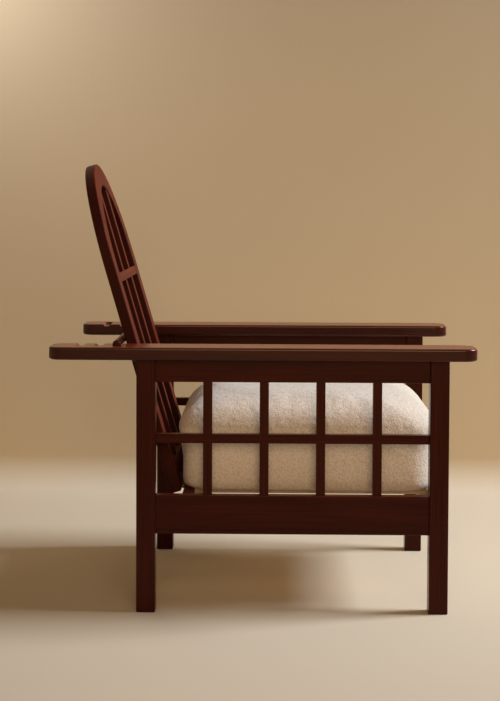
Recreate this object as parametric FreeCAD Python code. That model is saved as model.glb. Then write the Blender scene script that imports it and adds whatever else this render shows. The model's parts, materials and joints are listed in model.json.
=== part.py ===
"""Reclining armchair with lattice sides, a leaning hooped back, a notch bar and a loose seat cushion.

Millimetres. +X is the chair's front, +Y the sitter's left, +Z up. The origin lies on the floor,
midway along and between the arms. Each piece is written to its own file in parts/.
"""
import FreeCAD, Part
import math
import os

# Arms
CHAIR_WIDTH = 710.0            # over the outer edges of the arms
ARM_LENGTH = 940.0
ARM_WIDTH = 100.0
ARM_THICK = 28.0
ARM_TOP = 590.0                # floor to the top of the arms
ARM_CORNER = 30.0              # corner radius seen from above
ARM_EASE = 5.0                 # rounding of the arm's upper and lower edges

# Posts and side frames
POST = 42.0                    # square section
POST_INSET = 28.0              # arm edge to the post's outer face
REAR_OVERHANG = 192.0          # arm's rear end to the rear post
FRONT_OVERHANG = 60.0          # front post to the arm's front end
POST_EASE = 2.5
FOOT_CHAMFER = 2.0
CORBEL_REACH = 9.0             # the rear post flares out below the arm
CORBEL_DROP = 27.0
RAIL_THICK = 24.0
RAIL_EASE = 1.5
UPPER_RAIL_HEIGHT = 51.0
LOWER_RAIL_HEIGHT = 86.0
LOWER_RAIL_CLEARANCE = 174.0   # floor to the lower side rail
LATTICE_WIDTH = 20.0
LATTICE_THICK = 18.0
LATTICE_UPRIGHTS = 4

# Joinery
TENON_THICK = 14.0
TENON_SHOULDER = 8.0           # step above and below a rail's tenon
TENON_LENGTH = 20.0            # side rails into posts
SHORT_TENON = 12.0             # cross rails, where two tenons meet in one post
STUB_TENON = 8.0               # lattice bars and back slats
ARM_TENON = 14.0               # post into the underside of the arm

# Seat
SEAT_RAIL_THICK = 24.0
FRONT_RAIL_HEIGHT = 50.0
REAR_RAIL_HEIGHT = 60.0
REAR_RAIL_FROM_POST = 58.0     # rear post's front face to the rear rail's rear face
CLEAT = 20.0
SEAT_SLATS = 5
SEAT_SLAT_WIDTH = 62.0
SEAT_SLAT_THICK = 12.0
SEAT_SLAT_SIDE_GAP = 68.0      # lower side rail to the outermost slat
SEAT_SLAT_END_GAP = 0.5

# Cushion
CUSHION_REST_GAP = 0.3
CUSHION_SIDE_GAP = 13.0        # post's inner face to the cushion's side
CUSHION_REAR_GAP = 24.0        # behind the rear rail's rear face
CUSHION_FRONT_GAP = 2.0        # from the front post's front face
CUSHION_WALL = 125.0           # underside to where the sides begin to roll over
CUSHION_TOP = 217.0            # underside to where the roll would lie level
CUSHION_CROWN = 222.0          # underside to the crown
CUSHION_ROLL = 120.0           # how far in the sides roll over
CUSHION_END_ROLL = 1.2         # the ends' roll as a share of the sides'
CUSHION_ROLL_STEP = 9          # degrees between outlines of the roll
CUSHION_SOLE_STEP = 30         # degrees between outlines of the lower edges
CUSHION_CROWN_INSET = 205.0    # sides to the level crown
CUSHION_CORNER = 58.0          # rounding of the upright corners
CUSHION_CORNER_GROWTH = 1.6    # added rounding for each unit the roll goes in
CUSHION_CORNER_LIMIT = 0.8     # share of the half width that a corner may take
CUSHION_SOLE = 13.0            # rounding of the lower edges
CUSHION_TUCK = 17.0            # both ends draw in below their fullest height
CUSHION_TUCK_TOP = 157.0       # underside to the ends' fullest height
CUSHION_TUCK_FOOT = 92.0       # below this height the ends stand upright

# Back
BACK_LEAN = 16.4               # degrees behind upright
BACK_SIDE_GAP = 5.0            # arm's inner edge to the back
BACK_LENGTH = 771.0            # foot of the stiles to the crown of the hoop
BACK_THICK = 24.0
STILE_WIDTH = 54.0
BACK_EASE = 3.0
CROSS_RAIL_HEIGHT = 21.0
CROSS_RAIL_DROP = 12.0         # below the springing of the hoop
CROSS_RAIL_SETBACK = 1.0
BACK_RAIL_THICK = 20.0
BOTTOM_RAIL_HEIGHT = 60.0
BOTTOM_RAIL_SETBACK = 2.0
BACK_SLATS = 2
BACK_SLAT_WIDTH = 26.0
BACK_SLAT_THICK = 16.0
BACK_SLAT_SETBACK = 3.0
BACK_TENON = 25.0              # rails into stiles
KEY_LENGTH = 50.0              # loose tenon across each joint of the hoop
KEY_WIDTH = 30.0
KEY_THICK = 8.0

# Hinges of the back
HINGE_LENGTH = 64.0
HINGE_FROM_STILE = 56.0        # hinge's middle to the stile's inner edge
HINGE_LEAF = 27.0              # knuckle centre to the leaf's free edge
HINGE_LEAF_THICK = 2.0
KNUCKLE_RADIUS = 4.0
HINGE_PIN_RADIUS = 2.0
HINGE_FIT = 0.05               # radial running clearance on the pin
HINGE_KNUCKLES = 3
HINGE_KNUCKLE_GAP = 0.2
HINGE_STAND_OFF = 0.3          # knuckle to the rear rail's face
HINGE_BELOW_RAIL_TOP = 8.0     # rail top down to the pin
HINGE_FOOT_GAP = 5.0           # pin up to the foot of the back

# Notches and the bar that rests in them
BAR_RADIUS = 9.0
BAR_SINK = 4.8                 # how deep the bar lies below the arm's top
BAR_SEAT_GAP = 0.15
BAR_END_GAP = 1.0
BAR_END_EASE = 2.0
BAR_CLEARANCE = 4.0            # between the bar and the back, opened for the bar's arc
NOTCHES = 3
NOTCH_PITCH = 42.0
NOTCH_WIDTH = 19.6             # at the arm's top
NOTCH_FLANK = 48.0             # degrees, slope of its walls
NOTCH_STOP = 28.0              # arm's outer edge to the closed end of the notch
BAR_ARC = 40.0                 # degrees, half the arc that lifts the bar over from notch to notch

# Screws
SCREW_SHANK = 3.5
SCREW_HEAD = 7.0
SCREW_HEAD_DEPTH = 2.0
SLAT_SCREW_LENGTH = 26.0
CLEAT_SCREW_LENGTH = 36.0
HINGE_SCREW_LENGTH = 16.0
HINGE_SCREWS = 3
HINGE_SCREW_HEAD = 6.0
HINGE_SCREW_HEAD_DEPTH = 1.6

# Places worked out from the sizes above
AXIS_X = FreeCAD.Vector(1, 0, 0)
AXIS_Y = FreeCAD.Vector(0, 1, 0)
AXIS_Z = FreeCAD.Vector(0, 0, 1)
ORIGIN = FreeCAD.Vector(0, 0, 0)
SIDES = {"right": -1, "left": 1}

ARM_BOTTOM = ARM_TOP - ARM_THICK
ARM_INNER = CHAIR_WIDTH / 2 - ARM_WIDTH
POST_OUTER = CHAIR_WIDTH / 2 - POST_INSET
SIDE_Y = POST_OUTER - POST / 2
POST_INNER = POST_OUTER - POST
REAR_POST_REAR = -ARM_LENGTH / 2 + REAR_OVERHANG
REAR_POST_FRONT = REAR_POST_REAR + POST
FRONT_POST_FRONT = ARM_LENGTH / 2 - FRONT_OVERHANG
FRONT_POST_REAR = FRONT_POST_FRONT - POST
UPPER_RAIL_BOTTOM = ARM_BOTTOM - UPPER_RAIL_HEIGHT
SEAT_TOP = LOWER_RAIL_CLEARANCE + LOWER_RAIL_HEIGHT
LATTICE_RAIL_Z = (UPPER_RAIL_BOTTOM + SEAT_TOP) / 2
LATTICE_SPAN = FRONT_POST_REAR - REAR_POST_FRONT
LATTICE_BAY = (LATTICE_SPAN - LATTICE_UPRIGHTS * LATTICE_WIDTH) / (LATTICE_UPRIGHTS + 1)
SIDE_RAIL_INNER = SIDE_Y - RAIL_THICK / 2

REAR_RAIL_REAR = REAR_POST_FRONT + REAR_RAIL_FROM_POST
REAR_RAIL_FRONT = REAR_RAIL_REAR + SEAT_RAIL_THICK
FRONT_RAIL_REAR = FRONT_POST_REAR + (POST - SEAT_RAIL_THICK) / 2
FRONT_RAIL_FRONT = FRONT_RAIL_REAR + SEAT_RAIL_THICK
CLEAT_TOP = SEAT_TOP - SEAT_SLAT_THICK
DECK_HALF = SIDE_RAIL_INNER - SEAT_SLAT_SIDE_GAP
SEAT_SLAT_PITCH = (2 * DECK_HALF - SEAT_SLAT_WIDTH) / (SEAT_SLATS - 1)
SEAT_SLAT_CENTRES = [-DECK_HALF + SEAT_SLAT_WIDTH / 2 + i * SEAT_SLAT_PITCH for i in range(SEAT_SLATS)]

HINGE_X = REAR_RAIL_REAR - KNUCKLE_RADIUS - HINGE_STAND_OFF
HINGE_Z = SEAT_TOP - HINGE_BELOW_RAIL_TOP
HINGE_PLACE = FreeCAD.Vector(HINGE_X, 0, HINGE_Z)
LEAN = math.radians(BACK_LEAN)

# The back is laid out upright, with the hinge pin at its origin and its front face in the plane x = 0
HOOP_RADIUS = ARM_INNER - BACK_SIDE_GAP
HOOP_INNER = HOOP_RADIUS - STILE_WIDTH
HINGE_FROM_CENTRE = HOOP_INNER - HINGE_FROM_STILE
SPRINGING = HINGE_FOOT_GAP + BACK_LENGTH - HOOP_RADIUS
CROSS_RAIL_TOP = SPRINGING - CROSS_RAIL_DROP
CROSS_RAIL_BOTTOM = CROSS_RAIL_TOP - CROSS_RAIL_HEIGHT
BOTTOM_RAIL_TOP = HINGE_FOOT_GAP + BOTTOM_RAIL_HEIGHT
BACK_SLAT_GAP = (2 * HOOP_INNER - BACK_SLATS * BACK_SLAT_WIDTH) / (BACK_SLATS + 1)
BACK_SLAT_CENTRES = [-HOOP_INNER + BACK_SLAT_GAP * (i + 1) + BACK_SLAT_WIDTH * (i + 0.5)
                     for i in range(BACK_SLATS)]

# The bar lies behind the leaning back, at the arm's top
BAR_Z = ARM_TOP + BAR_RADIUS - BAR_SINK
BAR_FROM_FACE = BACK_THICK + BAR_CLEARANCE + BAR_RADIUS
BAR_X = HINGE_X - (BAR_FROM_FACE + (BAR_Z - HINGE_Z) * math.sin(LEAN)) / math.cos(LEAN)
NOTCH_PLACES = [BAR_X - i * NOTCH_PITCH for i in range(NOTCHES)]
NOTCH_END = CHAIR_WIDTH / 2 - NOTCH_STOP
BAR_HALF = NOTCH_END - BAR_END_GAP


def box(x0, x1, y0, y1, z0, z1):
    corner = FreeCAD.Vector(min(x0, x1), min(y0, y1), min(z0, z1))
    return Part.makeBox(abs(x1 - x0), abs(y1 - y0), abs(z1 - z0), corner)


def edges_along(shape, axis):
    """Straight edges of a shape that run along an axis."""
    found = []
    for edge in shape.Edges:
        if isinstance(edge.Curve, Part.Line) and abs(edge.tangentAt(edge.FirstParameter).dot(axis)) > 0.999:
            found.append(edge)
    return found


def bar(x0, x1, y0, y1, z0, z1, axis, ease):
    """A straight bar with its four long edges rounded."""
    plain = box(x0, x1, y0, y1, z0, z1)
    return plain.makeFillet(ease, edges_along(plain, axis))


def polygon_prism(points, direction):
    """A prism on a closed outline of points."""
    outline = Part.makePolygon(points + [points[0]])
    return Part.Face(outline).extrude(direction)


def screw(tip_side, direction, length, head, head_depth, shank=SCREW_SHANK):
    """A countersunk screw whose flat head starts at tip_side and whose shank runs along direction."""
    cone = Part.makeCone(head / 2, shank / 2, head_depth, tip_side, direction)
    rod_start = tip_side + direction * head_depth
    rod = Part.makeCylinder(shank / 2, length - head_depth, rod_start, direction)
    return cone.fuse(rod).removeSplitter()


def placed_on_back(shape):
    """Leans a piece of the back and sets it on the hinge pin."""
    leaned = shape.copy()
    leaned.rotate(ORIGIN, AXIS_Y, -BACK_LEAN)
    leaned.translate(HINGE_PLACE)
    return leaned


def side_rail(side, z0, z1):
    """A rail between the two posts of a side, with a tenon at each end."""
    y = side * SIDE_Y
    rail = bar(REAR_POST_FRONT, FRONT_POST_REAR, y - RAIL_THICK / 2, y + RAIL_THICK / 2,
               z0, z1, AXIS_X, RAIL_EASE)
    return rail.fuse(side_rail_tenons(side, z0, z1)).removeSplitter()


def side_rail_tenons(side, z0, z1):
    y = side * SIDE_Y
    return box(REAR_POST_FRONT - TENON_LENGTH, FRONT_POST_REAR + TENON_LENGTH,
               y - TENON_THICK / 2, y + TENON_THICK / 2, z0 + TENON_SHOULDER, z1 - TENON_SHOULDER)


def lattice_rail_blank(side):
    """The middle rail of a side's lattice, before its laps are cut."""
    y = side * SIDE_Y
    half = LATTICE_WIDTH / 2
    rail = box(REAR_POST_FRONT, FRONT_POST_REAR, y - LATTICE_THICK / 2, y + LATTICE_THICK / 2,
               LATTICE_RAIL_Z - half, LATTICE_RAIL_Z + half)
    return rail.fuse(lattice_rail_tenons(side)).removeSplitter()


def lattice_rail_tenons(side):
    y = side * SIDE_Y
    return box(REAR_POST_FRONT - STUB_TENON, FRONT_POST_REAR + STUB_TENON,
               y - LATTICE_THICK / 4, y + LATTICE_THICK / 4,
               LATTICE_RAIL_Z - LATTICE_WIDTH / 4, LATTICE_RAIL_Z + LATTICE_WIDTH / 4)


def lattice_centres():
    return [REAR_POST_FRONT + LATTICE_BAY * (i + 1) + LATTICE_WIDTH * (i + 0.5)
            for i in range(LATTICE_UPRIGHTS)]


def lattice_upright_blank(side, x):
    y = side * SIDE_Y
    half = LATTICE_WIDTH / 2
    upright = box(x - half, x + half, y - LATTICE_THICK / 2, y + LATTICE_THICK / 2,
                  SEAT_TOP, UPPER_RAIL_BOTTOM)
    return upright.fuse(lattice_upright_tenons(side, x)).removeSplitter()


def lattice_upright_tenons(side, x):
    y = side * SIDE_Y
    return box(x - LATTICE_WIDTH / 4, x + LATTICE_WIDTH / 4, y - LATTICE_THICK / 4, y + LATTICE_THICK / 4,
               SEAT_TOP - STUB_TENON, UPPER_RAIL_BOTTOM + STUB_TENON)


def lap(side, x, outer):
    """Half the crossing of an upright and the middle rail: the outer or the inner half."""
    half = LATTICE_WIDTH / 2
    middle = side * SIDE_Y
    reach = side * (LATTICE_THICK if outer else -LATTICE_THICK)
    return box(x - half, x + half, middle, middle + reach, LATTICE_RAIL_Z - half, LATTICE_RAIL_Z + half)


def arm_tenon(side, x0):
    """The square tenon on top of a post."""
    step = POST / 4
    y = side * SIDE_Y
    return box(x0 + step, x0 + POST - step, y - POST / 2 + step, y + POST / 2 - step,
               ARM_BOTTOM, ARM_BOTTOM + ARM_TENON)


def front_post(side):
    y = side * SIDE_Y
    post = bar(FRONT_POST_REAR, FRONT_POST_FRONT, y - POST / 2, y + POST / 2,
               0, ARM_BOTTOM, AXIS_Z, POST_EASE)
    return with_foot_and_tenon(post, side, FRONT_POST_REAR)


def rear_post(side):
    """A post whose rear face curves out into a small corbel under the arm."""
    y0 = side * SIDE_Y - POST / 2
    start = ARM_BOTTOM - CORBEL_DROP
    radius = (CORBEL_DROP ** 2 + CORBEL_REACH ** 2) / (2 * CORBEL_REACH)
    half_turn = math.atan2(CORBEL_REACH, CORBEL_DROP)
    foot = FreeCAD.Vector(REAR_POST_REAR, y0, 0)
    spring = FreeCAD.Vector(REAR_POST_REAR, y0, start)
    middle = FreeCAD.Vector(REAR_POST_REAR - radius * (1 - math.cos(half_turn)), y0,
                            start + radius * math.sin(half_turn))
    tip = FreeCAD.Vector(REAR_POST_REAR - CORBEL_REACH, y0, ARM_BOTTOM)
    top = FreeCAD.Vector(REAR_POST_FRONT, y0, ARM_BOTTOM)
    front = FreeCAD.Vector(REAR_POST_FRONT, y0, 0)
    outline = Part.Wire([
        Part.makeLine(foot, spring),
        Part.Arc(spring, middle, tip).toShape(),
        Part.makeLine(tip, top),
        Part.makeLine(top, front),
        Part.makeLine(front, foot),
    ])
    plain = Part.Face(outline).extrude(AXIS_Y * POST)
    post = plain.makeFillet(POST_EASE, edges_along(plain, AXIS_Z))
    return with_foot_and_tenon(post, side, REAR_POST_REAR)


def with_foot_and_tenon(post, side, x0):
    sole = [edge for edge in post.Edges if edge.BoundBox.ZMax < FOOT_CHAMFER / 10]
    footed = post.makeChamfer(FOOT_CHAMFER, sole)
    return footed.fuse(arm_tenon(side, x0)).removeSplitter()


def notch_cutter(side, x):
    """The space of one notch: sloping walls, a flat seat, open at the arm's inner edge."""
    depth = BAR_SINK + BAR_SEAT_GAP
    half = NOTCH_WIDTH / 2
    run = depth / math.tan(math.radians(NOTCH_FLANK))
    rise = ARM_EASE
    spread = rise / math.tan(math.radians(NOTCH_FLANK))
    y = side * NOTCH_END
    points = [
        FreeCAD.Vector(x - half + run, y, ARM_TOP - depth),
        FreeCAD.Vector(x + half - run, y, ARM_TOP - depth),
        FreeCAD.Vector(x + half + spread, y, ARM_TOP + rise),
        FreeCAD.Vector(x - half - spread, y, ARM_TOP + rise),
    ]
    return polygon_prism(points, AXIS_Y * (-side * ARM_WIDTH))


def arm(side):
    outer = side * CHAIR_WIDTH / 2
    plain = box(-ARM_LENGTH / 2, ARM_LENGTH / 2, outer, outer - side * ARM_WIDTH, ARM_BOTTOM, ARM_TOP)
    shaped = plain.makeFillet(ARM_CORNER, edges_along(plain, AXIS_Z))
    rims = [edge for edge in shaped.Edges if edge.BoundBox.ZLength < 0.001]
    shaped = shaped.makeFillet(ARM_EASE, rims)
    for x in NOTCH_PLACES:
        shaped = shaped.cut(notch_cutter(side, x))
    for x0 in (REAR_POST_REAR, FRONT_POST_REAR):
        shaped = shaped.cut(arm_tenon(side, x0))
    return shaped


def front_rail_tenons():
    return box(FRONT_RAIL_REAR + (SEAT_RAIL_THICK - TENON_THICK) / 2,
               FRONT_RAIL_FRONT - (SEAT_RAIL_THICK - TENON_THICK) / 2,
               -POST_INNER - SHORT_TENON, POST_INNER + SHORT_TENON,
               SEAT_TOP - FRONT_RAIL_HEIGHT + TENON_SHOULDER, SEAT_TOP - TENON_SHOULDER)


def rear_rail_tenons():
    return box(REAR_RAIL_REAR + (SEAT_RAIL_THICK - TENON_THICK) / 2,
               REAR_RAIL_FRONT - (SEAT_RAIL_THICK - TENON_THICK) / 2,
               -SIDE_RAIL_INNER - SHORT_TENON, SIDE_RAIL_INNER + SHORT_TENON,
               SEAT_TOP - REAR_RAIL_HEIGHT + TENON_SHOULDER, SEAT_TOP - TENON_SHOULDER)


def side_frames():
    """Posts, rails, lattice and arm of both sides, by node name."""
    pieces = {}
    for name, side in SIDES.items():
        rail_spans = {"upper": (UPPER_RAIL_BOTTOM, ARM_BOTTOM), "lower": (LOWER_RAIL_CLEARANCE, SEAT_TOP)}
        rails = {key: side_rail(side, *span) for key, span in rail_spans.items()}
        posts = {"front": front_post(side), "rear": rear_post(side)}
        for key in posts:
            for span in rail_spans.values():
                posts[key] = posts[key].cut(side_rail_tenons(side, *span))
            posts[key] = posts[key].cut(lattice_rail_tenons(side))
        posts["front"] = posts["front"].cut(front_rail_tenons())
        rails["lower"] = rails["lower"].cut(rear_rail_tenons())
        middle = lattice_rail_blank(side)
        for number, x in enumerate(lattice_centres(), start=1):
            upright = lattice_upright_blank(side, x).cut(lap(side, x, outer=True))
            middle = middle.cut(lap(side, x, outer=False))
            for key in rails:
                rails[key] = rails[key].cut(lattice_upright_tenons(side, x))
            pieces[f"lattice_upright_{name}_{number}"] = upright
        pieces[f"lattice_rail_{name}"] = middle
        pieces[f"arm_{name}"] = arm(side)
        for key, rail in rails.items():
            pieces[f"{key}_side_rail_{name}"] = rail
        for key, post in posts.items():
            pieces[f"{key}_post_{name}"] = post
    return pieces


def hinge_knuckles():
    """Start and end of each knuckle along a hinge, with its number."""
    step = HINGE_LENGTH / HINGE_KNUCKLES
    return [(i, -HINGE_LENGTH / 2 + i * step, -HINGE_LENGTH / 2 + (i + 1) * step)
            for i in range(HINGE_KNUCKLES)]


def hinge_leaf(leaf, moving):
    """A leaf with its rolled knuckles bored for the pin; the middle knuckle is the moving leaf's."""
    solid = leaf
    shrink = HINGE_KNUCKLE_GAP / 2
    room = KNUCKLE_RADIUS + HINGE_KNUCKLE_GAP
    for number, start, end in hinge_knuckles():
        if (number % 2 == 1) == moving:
            first = FreeCAD.Vector(0, start + shrink, 0)
            roll = Part.makeCylinder(KNUCKLE_RADIUS, end - start - 2 * shrink, first, AXIS_Y)
            solid = solid.fuse(roll)
        else:
            first = FreeCAD.Vector(0, start - shrink, 0)
            gap = Part.makeCylinder(room, end - start + 2 * shrink, first, AXIS_Y)
            solid = solid.cut(gap)
    bore_start = FreeCAD.Vector(0, -HINGE_LENGTH / 2, 0)
    bore = Part.makeCylinder(HINGE_PIN_RADIUS + HINGE_FIT, HINGE_LENGTH, bore_start, AXIS_Y)
    return solid.cut(bore).removeSplitter()


def hinge_screw_places():
    """Distances along a hinge of its screws."""
    step = HINGE_LENGTH / HINGE_SCREWS
    return [-HINGE_LENGTH / 2 + (i + 0.5) * step for i in range(HINGE_SCREWS)]


def rail_leaf_plate():
    """The plate on the rear face of the rear rail, below the pin; the pin is the origin."""
    face = REAR_RAIL_REAR - HINGE_X
    return box(face - HINGE_LEAF_THICK, face, -HINGE_LENGTH / 2, HINGE_LENGTH / 2, -HINGE_LEAF, 0)


def back_leaf_plate():
    """The plate let in flush with the front face of the back's bottom rail, above the pin."""
    face = -BOTTOM_RAIL_SETBACK
    return box(face - HINGE_LEAF_THICK, face, -HINGE_LENGTH / 2, HINGE_LENGTH / 2, 0, HINGE_LEAF)


def rail_hinge_screw(y):
    face = REAR_RAIL_REAR - HINGE_X
    start = FreeCAD.Vector(face - HINGE_LEAF_THICK, y, -(HINGE_LEAF + KNUCKLE_RADIUS) / 2)
    return screw(start, AXIS_X, HINGE_SCREW_LENGTH, HINGE_SCREW_HEAD, HINGE_SCREW_HEAD_DEPTH)


def back_hinge_screw(y):
    start = FreeCAD.Vector(-BOTTOM_RAIL_SETBACK, y, (HINGE_LEAF + HINGE_FOOT_GAP) / 2)
    return screw(start, -AXIS_X, HINGE_SCREW_LENGTH, HINGE_SCREW_HEAD, HINGE_SCREW_HEAD_DEPTH)


def seat():
    """Cross rails, cleats, slats and their screws, by node name."""
    pieces = {}
    front = bar(FRONT_RAIL_REAR, FRONT_RAIL_FRONT, -POST_INNER, POST_INNER,
                SEAT_TOP - FRONT_RAIL_HEIGHT, SEAT_TOP, AXIS_Y, RAIL_EASE)
    rear = bar(REAR_RAIL_REAR, REAR_RAIL_FRONT, -SIDE_RAIL_INNER, SIDE_RAIL_INNER,
               SEAT_TOP - REAR_RAIL_HEIGHT, SEAT_TOP, AXIS_Y, RAIL_EASE)
    front = front.fuse(front_rail_tenons()).removeSplitter()
    rear = rear.fuse(rear_rail_tenons()).removeSplitter()
    front_cleat = box(FRONT_RAIL_REAR - CLEAT, FRONT_RAIL_REAR, -DECK_HALF, DECK_HALF,
                      CLEAT_TOP - CLEAT, CLEAT_TOP)
    rear_cleat = box(REAR_RAIL_FRONT, REAR_RAIL_FRONT + CLEAT, -DECK_HALF, DECK_HALF,
                     CLEAT_TOP - CLEAT, CLEAT_TOP)

    slat_screws = []
    for number, y in enumerate(SEAT_SLAT_CENTRES, start=1):
        slat = bar(REAR_RAIL_FRONT + SEAT_SLAT_END_GAP, FRONT_RAIL_REAR - SEAT_SLAT_END_GAP,
                   y - SEAT_SLAT_WIDTH / 2, y + SEAT_SLAT_WIDTH / 2, CLEAT_TOP, SEAT_TOP, AXIS_X, RAIL_EASE)
        for x in (REAR_RAIL_FRONT + CLEAT / 2, FRONT_RAIL_REAR - CLEAT / 2):
            fixing = screw(FreeCAD.Vector(x, y, SEAT_TOP), -AXIS_Z, SLAT_SCREW_LENGTH,
                           SCREW_HEAD, SCREW_HEAD_DEPTH)
            slat = slat.cut(fixing)
            slat_screws.append(fixing)
        pieces[f"seat_slat_{number}"] = slat

    cleat_screws = []
    for slat_centre in SEAT_SLAT_CENTRES[:-1]:
        y = slat_centre + SEAT_SLAT_PITCH / 2
        z = CLEAT_TOP - CLEAT / 2
        cleat_screws.append(screw(FreeCAD.Vector(FRONT_RAIL_REAR - CLEAT, y, z), AXIS_X,
                                  CLEAT_SCREW_LENGTH, SCREW_HEAD, SCREW_HEAD_DEPTH))
        cleat_screws.append(screw(FreeCAD.Vector(REAR_RAIL_FRONT + CLEAT, y, z), -AXIS_X,
                                  CLEAT_SCREW_LENGTH, SCREW_HEAD, SCREW_HEAD_DEPTH))
    for fixing in slat_screws + cleat_screws:
        front_cleat = front_cleat.cut(fixing)
        rear_cleat = rear_cleat.cut(fixing)
    for fixing in cleat_screws:
        front = front.cut(fixing)
        rear = rear.cut(fixing)

    hinge_screws = []
    for name, side in SIDES.items():
        place = FreeCAD.Vector(HINGE_X, side * HINGE_FROM_CENTRE, HINGE_Z)
        leaf = hinge_leaf(rail_leaf_plate(), moving=False)
        for y in hinge_screw_places():
            fixing = rail_hinge_screw(y)
            leaf = leaf.cut(fixing)
            fixing.translate(place)
            rear = rear.cut(fixing)
            hinge_screws.append(fixing)
        leaf.translate(place)
        pieces[f"hinge_rail_leaf_{name}"] = leaf
        pin_start = place - AXIS_Y * (HINGE_LENGTH / 2)
        pieces[f"hinge_pin_{name}"] = Part.makeCylinder(HINGE_PIN_RADIUS, HINGE_LENGTH, pin_start, AXIS_Y)

    pieces["front_seat_rail"] = front
    pieces["rear_seat_rail"] = rear
    pieces["front_cleat"] = front_cleat
    pieces["rear_cleat"] = rear_cleat
    pieces["slat_screws"] = Part.makeCompound(slat_screws)
    pieces["cleat_screws"] = Part.makeCompound(cleat_screws)
    pieces["hinge_rail_screws"] = Part.makeCompound(hinge_screws)
    return pieces


def back_rail_tenons(z0, z1, front):
    middle = front - BACK_RAIL_THICK / 2
    return box(middle - KEY_THICK / 2, middle + KEY_THICK / 2,
               -HOOP_INNER - BACK_TENON, HOOP_INNER + BACK_TENON,
               z0 + TENON_SHOULDER / 2, z1 - TENON_SHOULDER / 2)


def back_rail(z0, z1, front):
    rail = bar(front - BACK_RAIL_THICK, front, -HOOP_INNER, HOOP_INNER, z0, z1, AXIS_Y, RAIL_EASE)
    return rail.fuse(back_rail_tenons(z0, z1, front)).removeSplitter()


def hoop_cylinder(radius):
    start = FreeCAD.Vector(-BACK_THICK, 0, SPRINGING)
    return Part.makeCylinder(radius, BACK_THICK, start, AXIS_X)


def hoop_quarter(side):
    """Half of the hoop, from the springing to the crown, with its curved edges rounded."""
    ring = hoop_cylinder(HOOP_RADIUS).cut(hoop_cylinder(HOOP_INNER))
    window = box(-BACK_THICK, 0, 0, side * HOOP_RADIUS, SPRINGING, SPRINGING + HOOP_RADIUS)
    quarter = ring.common(window)
    curved = [edge for edge in quarter.Edges if isinstance(edge.Curve, Part.Circle)]
    return quarter.makeFillet(BACK_EASE, curved)


def hoop_keys():
    """Loose tenons that join the hoop's halves to each other and to the stiles."""
    middle = -BACK_THICK / 2
    ring_middle = HOOP_RADIUS - STILE_WIDTH / 2
    crown = SPRINGING + ring_middle
    keys = {"crown_key": box(middle - KEY_THICK / 2, middle + KEY_THICK / 2, -KEY_LENGTH / 2, KEY_LENGTH / 2,
                             crown - KEY_WIDTH / 2, crown + KEY_WIDTH / 2)}
    for name, side in SIDES.items():
        y = side * ring_middle
        keys[f"springing_key_{name}"] = box(middle - KEY_THICK / 2, middle + KEY_THICK / 2,
                                            y - KEY_WIDTH / 2, y + KEY_WIDTH / 2,
                                            CROSS_RAIL_TOP, CROSS_RAIL_TOP + KEY_LENGTH)
    return keys


def back_slat_blank(y, z0, z1):
    rear = -BACK_SLAT_SETBACK - BACK_SLAT_THICK
    return bar(rear, -BACK_SLAT_SETBACK, y - BACK_SLAT_WIDTH / 2, y + BACK_SLAT_WIDTH / 2,
               z0, z1, AXIS_Z, RAIL_EASE)


def back_slat_tenon(y, z0, z1):
    middle = -BACK_SLAT_SETBACK - BACK_SLAT_THICK / 2
    return box(middle - BACK_SLAT_THICK / 4, middle + BACK_SLAT_THICK / 4,
               y - BACK_SLAT_WIDTH / 4, y + BACK_SLAT_WIDTH / 4, z0, z1)


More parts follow.
